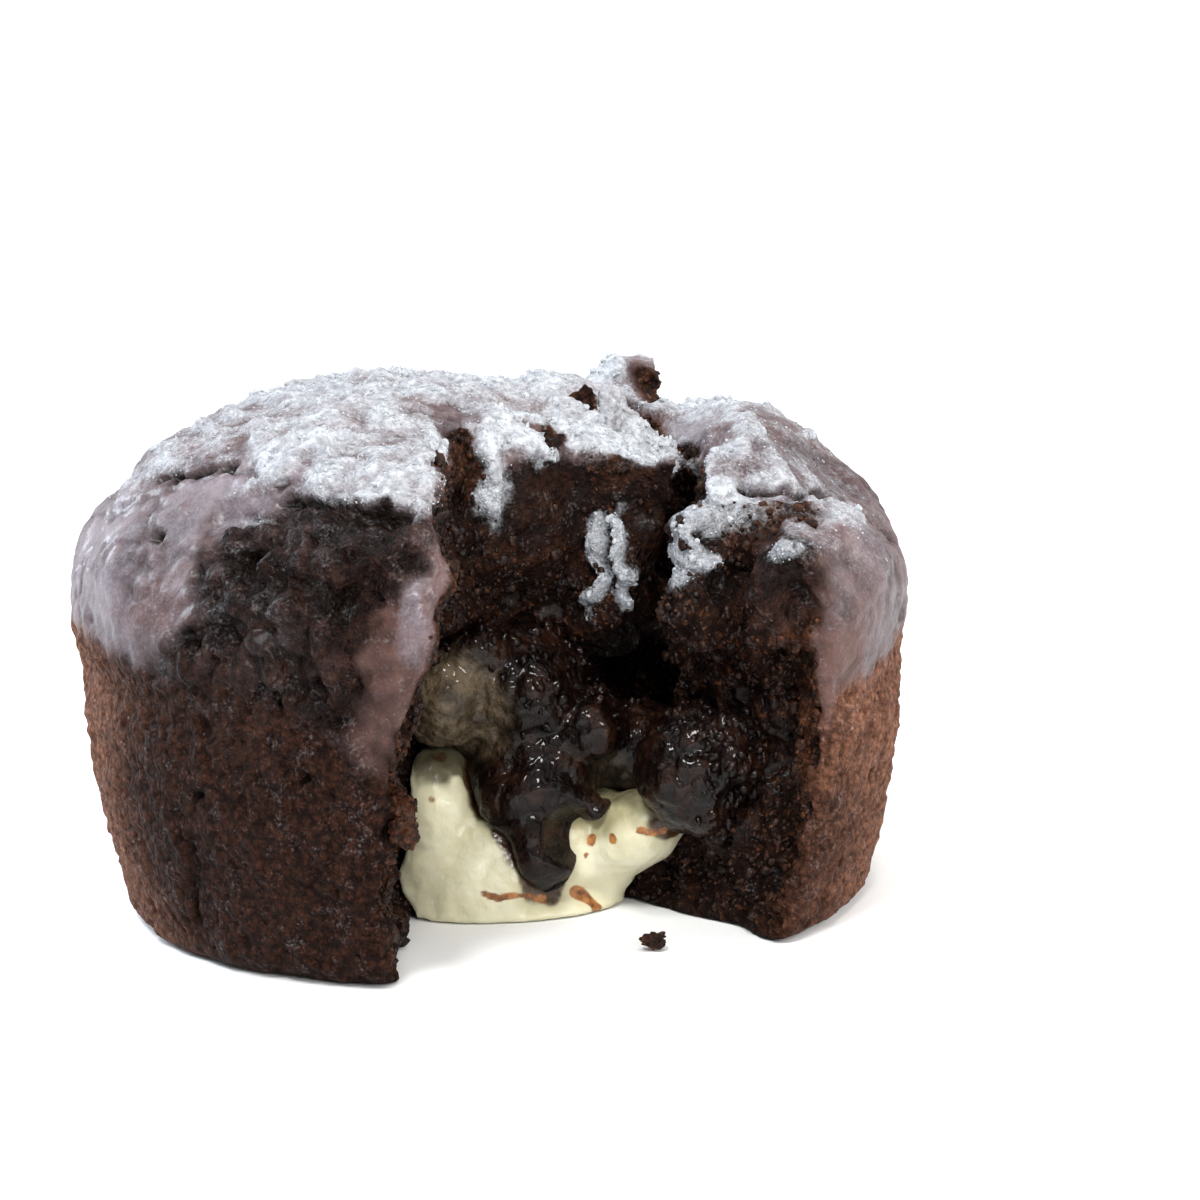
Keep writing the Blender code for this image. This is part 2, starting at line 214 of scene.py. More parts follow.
def depth_in_cake(points):
    """How far inside the baked outline each point is, roughly, in millimetres."""
    x, y, z = points[:, 0], points[:, 1], points[:, 2] + BASE_TRIM
    radius = np.hypot(x, y)
    rise = (np.clip(z, BASE_CORNER, COLLAR_HEIGHT) - BASE_CORNER) / (COLLAR_HEIGHT - BASE_CORNER)
    below = BASE_RADIUS + (SIDE_RADIUS - BASE_RADIUS) * np.sin(rise * math.pi / 2) - radius
    cubes = sum(
        (depth * np.exp(-((x / MM - dent_x) ** 2 + (y / MM - dent_y) ** 2) / reach**2)) ** 3
        for dent_x, dent_y, depth, reach in DENTS
    )
    high = np.clip((z - RIM_HEIGHT) / (TOP_HEIGHT - RIM_HEIGHT), 0, None)
    baked_height = z + cubes ** (1 / 3) * MM * np.minimum(1.0, 1.7 * high)
    up = np.clip((baked_height - RIM_HEIGHT) / (TOP_HEIGHT - RIM_HEIGHT), 0, None)
    share = ((radius / RIM_RADIUS) ** DOME_POWER + up**DOME_POWER) ** (1 / DOME_POWER)
    above = (1 - share) * np.hypot(radius, baked_height - RIM_HEIGHT) / np.maximum(share, 0.1)
    return np.where(z < RIM_HEIGHT, below, above) / MM


# The patches below are in millimetres: centre, radii and, where there is one, strength.
# Where sugar lies thick: on the middle's broken edges and beside the slit.
SUGARED = (
    ((0.4, -14.0, 42.5), (1.7, 3.0, 5.6), 1.0),
    ((3.0, -10.0, 46.0), (4.0, 3.0, 2.4), 0.9),
    ((5.6, -11.0, 43.8), (2.8, 2.6, 1.2), 0.8),
    ((8.0, -9.0, 45.4), (8.0, 4.5, 1.8), 0.6),
    ((14.0, -4.6, 44.4), (6.5, 4.5, 2.8), 1.1),
    ((17.6, -3.2, 42.0), (3.6, 4.0, 2.2), 0.9),
    ((12.2, -10.6, 33.8), (0.9, 2.8, 6.4), 1.1),
    ((9.9, -9.4, 31.0), (0.8, 2.6, 3.2), 1.0),
    ((10.1, -9.0, 36.4), (1.0, 2.4, 2.6), 1.0),
    ((20.5, -17.5, 38.8), (4.6, 5.4, 2.3), 0.8),
    ((17.4, -18.8, 34.6), (1.7, 3.4, 3.4), 0.9),
    ((19.4, -20.6, 34.2), (1.9, 2.6, 1.3), 0.8),
    ((25.6, -25.2, 36.2), (1.7, 2.2, 1.0), 0.55),
    ((20.0, 11.0, 45.6), (4.5, 3.0, 1.6), 0.8),
    ((-7.5, -29.0, 43.6), (9.0, 6.0, 3.0), 0.28),
    ((-4.4, -17.0, 44.0), (1.6, 3.0, 3.4), 0.8),
    ((31.0, -12.0, 38.0), (8.0, 9.0, 4.5), 0.22),
    ((11.0, 13.5, 49.5), (3.0, 3.5, 2.0), 0.8),
)
# Where the sugar has fallen off, or never lay.
BARE = (
    ((-2.6, -15.4, 43.4), (1.9, 3.0, 4.4), 1.4),
    ((-2.6, -11.5, 47.6), (2.6, 1.6, 1.6), 0.5),
    ((5.9, -9.7, 45.2), (1.9, 1.3, 1.3), 1.2),
    ((-16.5, -33.5, 34.5), (12.0, 9.0, 8.0), 1.4),
    ((-31.0, -21.0, 37.0), (10.0, 12.0, 6.0), 0.9),
    ((-25.0, -20.0, 43.5), (7.0, 4.5, 2.4), 0.45),
    ((19.8, 1.0, 42.0), (3.0, 5.5, 3.6), 0.5),
    ((31.0, -2.0, 42.0), (9.0, 9.0, 5.0), 0.38),
    ((26.0, -23.5, 31.5), (4.6, 5.0, 4.2), 1.0),
    ((36.5, -16.0, 30.0), (10.0, 13.0, 6.6), 0.8),
    ((22.0, 4.0, 43.0), (2.6, 3.2, 2.6), 0.6),
    ((16.8, 11.8, 48.0), (2.6, 2.6, 3.0), 1.4),
)
# Torn faces that are smooth and moist rather than crumbly.
SMOOTH = (
    ((5.0, -12.0, 40.4), (7.5, 7.0, 6.0)),
    ((16.5, -6.0, 37.5), (5.0, 8.0, 9.0)),
    ((24.8, -23.0, 35.0), (3.6, 4.5, 4.6)),
)
# Gaps that hardly any light gets into. Their crumb is painted near black as shade, and no grains are strewn
# there.
SHADED_GAPS = (
    ((18.4, -12.0, 32.0), (2.4, 9.0, 8.5)),
    ((20.5, -20.2, 32.0), (1.6, 2.4, 1.8)),
    ((13.0, -2.0, 24.0), (6.0, 8.0, 5.0)),
)
# Whole crust near the torn faces.
WHOLE = (
    ((31.0, -8.0, 41.0), (10.0, 7.5, 5.0)),
    ((35.0, -16.0, 33.0), (6.5, 9.0, 7.0)),
    ((25.6, -24.8, 34.4), (4.0, 4.2, 5.4)),
    ((-19.5, -27.5, 41.0), (8.0, 5.5, 4.0)),
)
# Where a thin, even dusting lies, with how much.
DUSTED = (
    ((31.0, -3.0, 41.0), (12.0, 15.0, 9.0), 0.17),
    ((33.0, -15.0, 35.5), (6.0, 7.0, 5.0), 0.14),
    ((17.0, 3.0, 43.0), (7.0, 8.0, 5.0), 0.26),
)
# Cracks in the crust, as paths in millimetres, with their width and depth.
CRACKS = (
    (((-29.1, -15.2, 43.4), (-26.1, -18.7, 44.1), (-22.4, -19.8, 44.8)), 0.8, 1.5),
    (((-22.4, -19.8, 44.8), (-19.9, -24.0, 44.3), (-18.0, -25.8, 43.6)), 0.45, 0.6),
    (((-19.0, -26.1, 42.6), (-16.3, -28.4, 42.0), (-12.7, -31.4, 41.7), (-11.0, -31.9, 41.9)), 0.6, 1.1),
    (((-11.0, -31.9, 41.9), (-7.5, -33.5, 41.2), (-4.3, -29.0, 40.9)), 0.9, 1.6),
    (((23.0, -13.5, 40.2), (28.5, -13.4, 39.8), (32.0, -8.5, 38.9)), 0.6, 1.2),
    (((32.0, -8.0, 38.7), (34.8, -7.8, 36.7), (38.6, -3.8, 33.6)), 0.6, 1.4),
    (((-8.0, 20.0, 50.0), (-2.0, 26.0, 46.5), (6.0, 28.0, 45.0), (12.0, 26.0, 45.5)), 0.5, 0.8),
    (((-30.0, 8.0, 44.0), (-27.0, 17.0, 43.5), (-19.0, 24.0, 44.0)), 0.6, 1.0),
    (((20.0, 22.0, 44.0), (27.0, 15.0, 43.0), (31.0, 8.0, 41.0)), 0.6, 0.9),
    (((4.0, -9.2, 46.6), (5.5, -9.8, 45.5), (7.4, -9.9, 44.3)), 0.8, 1.0),
    (((-27.6, -26.3, 12.6), (-27.5, -24.5, 6.4), (-27.3, -23.6, 3.4)), 0.8, 0.7),
    (((-9.0, -37.6, 16.2), (-8.6, -36.2, 13.0)), 0.9, 1.2),
    (((18.6, -20.0, 37.7), (20.4, -20.8, 37.5), (22.4, -21.2, 37.6)), 0.8, 2.0),
    (((22.8, -21.3, 38.0), (22.5, -22.5, 34.5), (22.2, -22.5, 31.0)), 0.8, 1.8),
)
# Pits, each with its radius and depth.
PITS = (
    ((-20.6, -30.5, 37.8), 1.6, 2.2),
    ((-18.2, -30.0, 39.2), 1.2, 1.6),
    ((-25.7, -27.6, 36.2), 0.9, 1.2),
    ((-29.6, -21.7, 39.5), 0.8, 0.9),
    ((-34.6, -12.5, 39.8), 0.4, 0.6),
    ((-24.0, -30.5, 33.0), 0.8, 1.0),
    ((-18.3, -34.6, 25.8), 0.6, 1.2),
    ((-20.5, -33.5, 26.4), 0.4, 0.9),
    ((-26.6, -27.9, 16.7), 0.6, 1.1),
    ((-16.1, -35.2, 19.5), 0.6, 1.1),
    ((20.6, -20.6, 32.0), 1.9, 2.4),
    ((19.4, -20.8, 32.8), 1.2, 1.6),
)
# Where the crust has broken away, so that crumb shows.
EXPOSED = (
    ((-2.2, -15.4, 43.8), (2.0, 3.0, 3.6)),
    ((5.9, -9.7, 45.2), (1.8, 1.2, 1.2)),
    ((16.6, 11.6, 47.8), (2.3, 2.6, 2.9)),
)
# Where the crust is darkest and shines like satin.
SATIN = (
    ((-15.5, -32.0, 36.0), (12.0, 10.0, 8.0)),
    ((-9.5, -34.0, 38.0), (5.5, 7.0, 5.0)),
    ((-20.0, -32.5, 26.5), (13.5, 10.0, 8.5)),
    ((-14.2, -36.0, 31.0), (4.4, 6.0, 7.0)),
    ((25.4, -24.8, 34.0), (4.2, 4.6, 6.2)),
)
# Where a thin layer of sugar dust and a painted bluish sheen lie on the crust, with their strength.
DUST_AND_SHEEN_PATCHES = (
    ((-36.5, -13.0, 36.5), (8.0, 13.0, 8.0), 0.35),
    ((-9.5, -38.0, 28.0), (5.0, 6.0, 9.0), -0.4),
    ((-6.6, -39.2, 34.0), (1.4, 3.0, 4.5), 0.6),
    ((37.5, -8.0, 33.0), (8.0, 14.0, 8.0), 0.05),
    ((20.0, 3.0, 42.0), (4.0, 6.0, 4.0), 0.8),
    ((25.4, -24.8, 34.0), (4.6, 5.0, 6.6), -1.0),
    ((30.5, -24.0, 24.0), (3.5, 4.5, 6.0), -0.35),
    ((-25.0, -22.5, 41.5), (6.0, 5.0, 3.5), 0.25),
)


def shaken(points, size, seeds):
    """A step in an uneven direction at each point, from about -1 to 1 each way."""
    return np.stack([rumple(points, size, seed) for seed in seeds], axis=1)


def strongest(points, patches):
    """How far inside the nearest of the patches each point is, as within says it."""
    return np.maximum.reduce([within(points, *patch) for patch in patches])


def added(points, patches):
    """The same for all the patches together, each times its strength."""
    return sum(strength * within(points, *patch) for *patch, strength in patches)


def along_paths(points, paths, wander=0.7):
    """How deep the paths are at each point: each has its own width and depth, in millimetres."""
    wavy = points / MM + shaken(points, 2.0, (17, 18, 19)) * wander
    deepest = np.zeros(len(points))
    for path, width, depth in paths:
        for start, end in zip(path, path[1:]):
            start, along = np.array(start), np.subtract(end, start)
            share = np.clip(((wavy - start) @ along) / max(along @ along, 0.01), 0.0, 1.0)
            away = np.linalg.norm(wavy - start - share[:, None] * along, axis=1)
            deepest = np.maximum(deepest, depth * fade(away, width * 1.5, width * 0.2))
    return deepest


def sugar_on(points, normals, torn):
    """How much sugar lies at each point: none at 0, a thick drift at 1 and above."""
    radius = np.hypot(points[:, 0], points[:, 1]) / MM
    facing_up = fade(normals[:, 2], 0.12, 0.72)
    drift = 0.62 + 0.22 * rumple(points, 9, 21) + 0.48 * rumple(points, 2.6, 22)
    drift += 0.14 * fade(points[:, 2], 44 * MM, 49 * MM)
    amount = facing_up * fade(radius + 3.0 * rumple(points, 10, 23), 43.0, 27.0) * drift * (1 - torn)
    clinging = fade(normals[:, 2] + 0.4 * rumple(points, 2.5, 24), -0.9, -0.2)
    for centre, radii, strength in SUGARED:
        amount += strength * within(points, centre, radii) * clinging
    for centre, radii, strength in BARE:
        amount -= strength * within(points, centre, radii)
    for centre, radii, least in DUSTED:
        amount = np.maximum(amount, least * within(points, centre, radii) * clinging * (1 - torn))
    return np.clip(amount, 0.0, 1.2)


def crust_detail(points, satin):
    """Millimetres outwards over the waxy crust: shallow wrinkles, pin-holes and a few fine cracks."""
    wavy = points + rumple(points, 4, 31)[:, None] * MM
    near, next_near, _ = cells(wavy, 7.5, 32)
    crackle = fade(next_near - near, 0.09, 0.0) * fade(rumple(points, 11, 33), 0.0, 0.3)
    relief = 0.14 * rumple(points, 3.4, 34) + 0.16 * rumple(points, 1.3, 35) - 0.25 * crackle
    relief -= 0.45 * pocks(wavy, 3.2, 0.25, 36)
    craggy = 0.6 * rumple(points, 2.3, 37) + 0.6 * beads(wavy, 1.9, 39) + 0.35 * beads(wavy, 1.05, 30)
    craggy = 1.5 * craggy - 0.8 - 1.2 * pocks(wavy, 2.6, 0.4, 38)
    return relief + satin * craggy * fade(points[:, 0], 20 * MM, 10 * MM)


def side_detail(points):
    """Millimetres outwards over the moulded side: lumps, fine grain and small, uneven pores."""
    wavy = points + rumple(points, 1.6, 45)[:, None] * 0.5 * MM
    relief = 0.16 * rumple(points, 3.2, 40) + 0.22 * rumple(points, 1.4, 41) + 0.42 * beads(wavy, 1.05, 42)
    return relief - 0.25 - 0.5 * pocks(wavy, 1.9, 0.25, 43) - 0.9 * pocks(wavy, 4.6, 0.14, 44)


def crumb_detail(points):
    """Millimetres outwards over the torn crumb: grains on grains, with pits between them."""
    wavy = points + rumple(points, 2.0, 55)[:, None] * 0.7 * MM
    relief = 0.9 * beads(wavy, 2.4, 51) + 0.5 * beads(wavy, 1.2, 52) + 0.8 * rumple(points, 3.4, 53)
    return relief - 0.9 - 1.5 * pocks(wavy, 3.1, 0.4, 54)


def detail_cake(cake):
    """Gives the cake its fine relief, and keeps what its material needs to know."""
    points, normals = surface(cake)
    depth = depth_in_cake(points)
    torn = fade(depth + 0.3 * rumple(points, 1.6, 11), *TORN_DEPTHS)
    ragged = points + shaken(points, 2.2, (14, 15, 16)) * 0.8 * MM
    for centre, radii in WHOLE:
        torn *= 1 - within(ragged, centre, radii)
    for centre, radii in EXPOSED:
        torn = np.maximum(torn, within(ragged, centre, radii))
    torn = fade(torn, 0.25, 0.75)
    cracks = along_paths(points, CRACKS + tuple(((pit, pit), *size) for pit, *size in PITS))
    angle = np.arctan2(points[:, 0], -points[:, 1])
    lip = np.interp(np.degrees(angle), LIP_BEARINGS, LIP_HEIGHTS) * MM
    lip += (1.3 * rumple(points, 7, 12) + 1.1 * rumple(points, 2.2, 20)) * MM
    side = fade(points[:, 2] - lip, 1.6 * MM, -1.6 * MM)
    smooth = strongest(ragged, SMOOTH)
    satin = fade(strongest(ragged, SATIN) + 0.25 * rumple(points, 2.4, 49), 0.1, 0.95) * (1 - torn)
    # How much painted shade the unlit gaps get.
    gap_shade = strongest(ragged, SHADED_GAPS) * torn
    # How much sugar dust and painted sheen lie on the crust.
    veil = 0.45 + 0.2 * rumple(points, 8, 47) + added(ragged, DUST_AND_SHEEN_PATCHES)
    wet = fade(distance_to(skin("sauce"), points, 6.0), 3.5, 0.5) * torn
    sugar = sugar_on(ragged, normals, torn)

    relief = torn * (1 - 0.8 * smooth) * crumb_detail(points)
    relief += (1 - torn) * (side * side_detail(points) + (1 - side) * crust_detail(points, satin))
    clots = 0.45 * beads(points, 1.6, 25) + 0.3 * beads(points, 0.8, 27) + 0.5 * rumple(points, 2.6, 26)
    heaped = np.clip(fade(sugar, 0.35, 1.05) * clots, 0.0, 1.0)
    heaped += fade(sugar, 0.7, 1.1) * torn * beads(ragged, 2.0, 48)
    relief = relief * (1 - 0.5 * np.minimum(1.0, heaped)) + heaped - cracks

    sugar *= 1 - fade(cracks, 0.15, 0.6)
    # The moulded side is painted darker towards the front, as shade where the lamps light it least, over its
    # own uneven tone.
    front = fade(angle, 1.3, -0.1) * fade(angle, -1.6, -0.9) * fade(points[:, 1], -10 * MM, -28 * MM)
    pale = 0.65 + 0.3 * rumple(points, 16, 13) - 0.95 * front
    off_base = fade(points[:, 2], 0.4 * MM, 1.6 * MM) * fade(normals[:, 2], -0.95, -0.7)
    crumbly = fade(torn, 0.55, 1.0) * off_base * (1 - wet) * (1 - np.minimum(1.0, sugar))
    crumbly = crumbly * (1 - 0.9 * smooth) * (1 - gap_shade) * (1 - fade(cracks, 0.2, 0.7))
    push_out(cake, points, normals, relief)
    # Among these values is painted shade: how near black the pits, cracks and unlit gaps are coloured.
    keep_values(
        cake, torn=torn, side=side, sugar=sugar, satin=satin, wet=wet, pale=pale, crumbly=crumbly,
        veil=np.clip(veil, 0.0, 1.0), calm=smooth * torn,
        dry=fade(depth + 1.5 * rumple(points, 3.0, 46), *DRY_DEPTHS) * (1 - smooth),
        hollow=np.clip(np.maximum(-relief, gap_shade), 0.0, 1.0),
        clotted=fade(sugar + 0.2 * rumple(points, 3.0, 29), 0.6, 1.1),
        dusted=fade(sugar + 0.25 * rumple(points, 2.0, 28), 0.1, 0.8) * fade(sugar, 0.02, 0.2),
    )


cake = merged_copy("cake", "torn_cake")
refine(cake, CAKE_VOXEL)
detail_cake(cake)
thin_out(cake, CAKE_TRIANGLES)
cake.data.shade_smooth()


class Wire:
    """A node's output. The operators on it add Math nodes to its tree."""

    def __init__(self, tree, socket):
        self.tree, self.socket = tree, socket

    def maths(self, operation, first, second):
        return self.tree.add("ShaderNodeMath", {"operation": operation}, {0: first, 1: second})

    def __add__(self, other):
        return self.maths("ADD", self, other)

    def __sub__(self, other):
        return self.maths("SUBTRACT", self, other)

    def __rsub__(self, other):
        return self.maths("SUBTRACT", other, self)

    def __mul__(self, other):
        return self.maths("MULTIPLY", self, other)

    __radd__, __rmul__ = __add__, __mul__


class Tree:
    """A node tree to add to: a material's, or one of Geometry Nodes."""

    def __init__(self, tree):
        self.tree = tree

    def feed(self, socket, value):
        if isinstance(value, list):
            for wire in value:
                self.feed(socket, wire)
        elif isinstance(value, Wire):
            self.tree.links.new(value.socket, socket)
        else:
            socket.default_value = value

    def add(self, kind, settings=None, inputs=None, output=0):
        """A node of the kind, with its settings made first and its inputs after, as a wire from an output."""
        node = self.tree.nodes.new(kind)
        for name, value in (settings or {}).items():
            setattr(node, name, value)
        for name, value in (inputs or {}).items():
            self.feed(node.inputs[name], value)
        return Wire(self, node.outputs[output])


class Finish(Tree):
    """A material for one piece, with patterns in millimetres on the piece's own coordinates."""

    def __init__(self, name):
        self.material = bpy.data.materials.new(name)
        self.material.use_nodes = True
        super().__init__(self.material.node_tree)
        self.shader = self.tree.nodes["Principled BSDF"]
        place = self.add("ShaderNodeTexCoord", output="Object")
        self.at = self.add("ShaderNodeVectorMath", {"operation": "SCALE"}, {0: place, "Scale": 1 / MM})

    def shifted(self, seed):
        return self.add("ShaderNodeVectorMath", {"operation": "ADD"}, {0: self.at, 1: (seed, seed, seed)})

    def noise(self, size, detail=2.0, roughness=0.55, seed=0.0):
        """Noise about 0, from about -0.4 to 0.4, over lumps of the size."""
        inputs = {"Vector": self.shifted(seed), "Scale": 1 / size, "Detail": detail, "Roughness": roughness}
        return self.add("ShaderNodeTexNoise", None, inputs) - 0.5

    def grains(self, size, seed=0.0):
        """Rounded grains side by side: 1 on top of one, about 0 between them."""
        moved = self.shifted(seed)
        wobble = self.add("ShaderNodeTexNoise", None, {"Vector": moved, "Scale": 0.9 / size}, output=1)
        wobble = self.add("ShaderNodeVectorMath", {"operation": "SCALE"}, {0: wobble, "Scale": size})
        moved = self.add("ShaderNodeVectorMath", {"operation": "ADD"}, {0: moved, 1: wobble})
        return 1.0 - self.add("ShaderNodeTexVoronoi", None, {"Vector": moved, "Scale": 1 / size}) * 1.5

    def kept(self, name):
        """What keep_values stored on the piece under the name."""
        return self.add("ShaderNodeAttribute", {"attribute_name": name}, output="Fac")

    def fade(self, value, low, high):
        inputs = {"Value": value, "From Min": low, "From Max": high}
        return self.add("ShaderNodeMapRange", {"interpolation_type": "SMOOTHSTEP"}, inputs)

    def mix(self, share, first, second):
        inputs = {0: share, 6: first, 7: second}
        return self.add("ShaderNodeMix", {"data_type": "RGBA"}, inputs, output=2)

    def bump(self, height):
        """Relief from a height in millimetres."""
        return self.add("ShaderNodeBump", None, {"Height": height, "Distance": MM})

    def set(self, **inputs):
        """Feeds the shader, and gives the material."""
        for name, value in inputs.items():
            self.feed(self.shader.inputs[name.replace("_", " ")], value)
        return self.material


def rgb(red, green, blue):
    return (red, green, blue, 1.0)


# Colours. Each pair runs from its darkest to its palest.
SUGAR_GREYS = (rgb(0.25, 0.262, 0.285), rgb(0.49, 0.505, 0.53))
MOIST_CRUMB = (rgb(0.005, 0.0018, 0.0012), rgb(0.024, 0.0085, 0.0042))
DRY_CRUMB = (rgb(0.007, 0.0026, 0.0013), rgb(0.062, 0.0213, 0.0090))
CRUMB_TIPS = rgb(0.100, 0.0345, 0.012)
BROWN_CRUST = (rgb(0.031, 0.0130, 0.0098), rgb(0.090, 0.0435, 0.0350))
DARK_CRUST = (rgb(0.004, 0.0016, 0.0011), rgb(0.029, 0.0115, 0.0075))
# Lilac-grey for sugar dust together with a painted bluish sheen on the crust.
CRUST_DUST_AND_SHEEN = rgb(0.250, 0.232, 0.275)
# The darker end also serves as painted shade on the front of the moulded side.
DARK_AND_SHADED_SIDE = (rgb(0.006, 0.0022, 0.0014), rgb(0.037, 0.0128, 0.0068))
PALE_SIDE = (rgb(0.075, 0.0300, 0.0180), rgb(0.255, 0.1150, 0.0680))
# Painted shade, near black, for the bottoms of pits and cracks and for the unlit gaps.
PAINTED_RECESS_SHADE = rgb(0.006, 0.003, 0.002)
SUGAR_ROUGHNESS = 0.95


def sugar_colour(finish, fine):
    return finish.mix(finish.fade(fine, -0.25, 0.25), *SUGAR_GREYS)


def crumb_colour(finish, middling, fine, calm=0.0):
    """Near black and moist inside, with rust-brown tips, and drier and browner near the crust."""
    deep = finish.fade(middling + fine, -0.2, 0.3)
    moist, dried = finish.mix(deep, *MOIST_CRUMB), finish.mix(deep, *DRY_CRUMB)
    crumb = finish.mix(finish.kept("dry") * 0.85, moist, dried)
    return finish.mix(finish.fade(fine, 0.08, 0.24) * (1.0 - calm), crumb, CRUMB_TIPS)


def cake_finish():
    finish = Finish("chocolate_sponge")
    names = ("torn", "side", "sugar", "satin", "wet", "hollow", "pale", "veil", "calm")
    torn, side, sugar, satin, wet, hollow, pale, veil, calm = (finish.kept(name) for name in names)
    broad, middling = finish.noise(9, 3), finish.noise(2.4, 3, seed=5)
    fine, finest = finish.noise(0.7, 3, 0.6, seed=9), finish.noise(0.28, 2, 0.6, seed=3)

    grains = finish.grains(0.8, seed=2) + fine * 0.6
    brown = finish.mix(finish.fade(broad + middling, -0.3, 0.3), *BROWN_CRUST)
    # Sugar dust and a painted bluish sheen lighten the crust towards lilac-grey.
    veil = finish.fade(veil + middling * 0.3 + fine * 0.5 + finest * 0.7, 0.0, 1.2)
    crust = finish.mix(veil * 0.5, brown, CRUST_DUST_AND_SHEEN)
    dark_crust = finish.mix(finish.fade(fine + middling, -0.15, 0.4), *DARK_CRUST)
    crust = finish.mix(satin, crust, dark_crust)
    grainy = finish.fade(grains * 0.6 + finest * 1.2 + fine * 0.9 + middling * 0.5, -0.35, 0.9)
    # The moulded side runs from dark to pale by its own tone, and is painted dark at the front as shade.
    dark_and_shaded_side, pale_side = finish.mix(grainy, *DARK_AND_SHADED_SIDE), finish.mix(grainy, *PALE_SIDE)
    moulded = finish.mix(finish.fade(pale + broad * 0.3 + middling * 0.15, -0.1, 0.9), dark_and_shaded_side, pale_side)

    colour = finish.mix(side, crust, moulded)
    colour = finish.mix(torn, colour, crumb_colour(finish, middling, fine, calm))
    # Pits, cracks and unlit gaps are painted near black, as the shade that lies in them.
    colour = finish.mix(hollow * 1.1, colour, PAINTED_RECESS_SHADE)
    patchy = finish.noise(2.2, 4, 0.65, seed=13)
    clots = finish.fade(sugar + patchy * 1.5 + fine * 0.6, 0.85, 1.15)
    powder = finish.fade(sugar + patchy * 0.9 + finest * 0.8 + fine * 0.4, 0.05, 1.0) * 0.8
    cover = finish.add("ShaderNodeMath", {"operation": "MAXIMUM"}, {0: clots, 1: powder})
    colour = finish.mix(cover, colour, sugar_colour(finish, fine))

    roughness = 0.5 + side * 0.15 + torn * 0.1 - satin * 0.1 + fine * 0.2
    powdery = rgb(SUGAR_ROUGHNESS, SUGAR_ROUGHNESS, SUGAR_ROUGHNESS)
    roughness = finish.mix(cover, roughness - wet * 0.3, powdery)
    waxy = (1.0 - torn) * (1.0 - side) * (0.24 + veil * 0.25 - satin * 0.28) + wet * 0.3 + calm * 0.05
    height = finish.noise(1.2, 3, 0.6, seed=7) * (0.15 + torn * 0.5 + satin * 0.5 + cover * 0.2)
    height = height + grains * (0.08 + side * 0.36 + torn * 0.06 + satin * 0.1) * (1.0 - cover)
    height = height + fine * (0.10 + torn * 0.3 + satin * 0.2 + cover * 0.1)
    height = height + finest * (0.10 + side * 0.05 + torn * 0.15 + satin * 0.1 + cover * 0.08)
    finish.set(Specular_IOR_Level=0.06, Coat_Roughness=0.28)
    coat = waxy * (1.0 - cover)
    return finish.set(Base_Color=colour, Roughness=roughness, Coat_Weight=coat, Normal=finish.bump(height))


chocolate_sponge = cake_finish()
cake.data.materials.append(chocolate_sponge)
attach(cake, "root")
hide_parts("cake")

# ---- The torn crumb's grains ----
# Where the cake is torn, crumbs of every size up to a millimetre and a half hang on to the broken faces. They
# are moist and nearly black inside the cake, and drier and browner near its crust.

# Smallest and largest, in millimetres, and how many lie on each square millimetre.
CRUMB_SIZES, CRUMB_DENSITY = (0.4, 0.9), 1.0
LUMP_SIZES, LUMP_DENSITY = (0.7, 1.6), 0.26


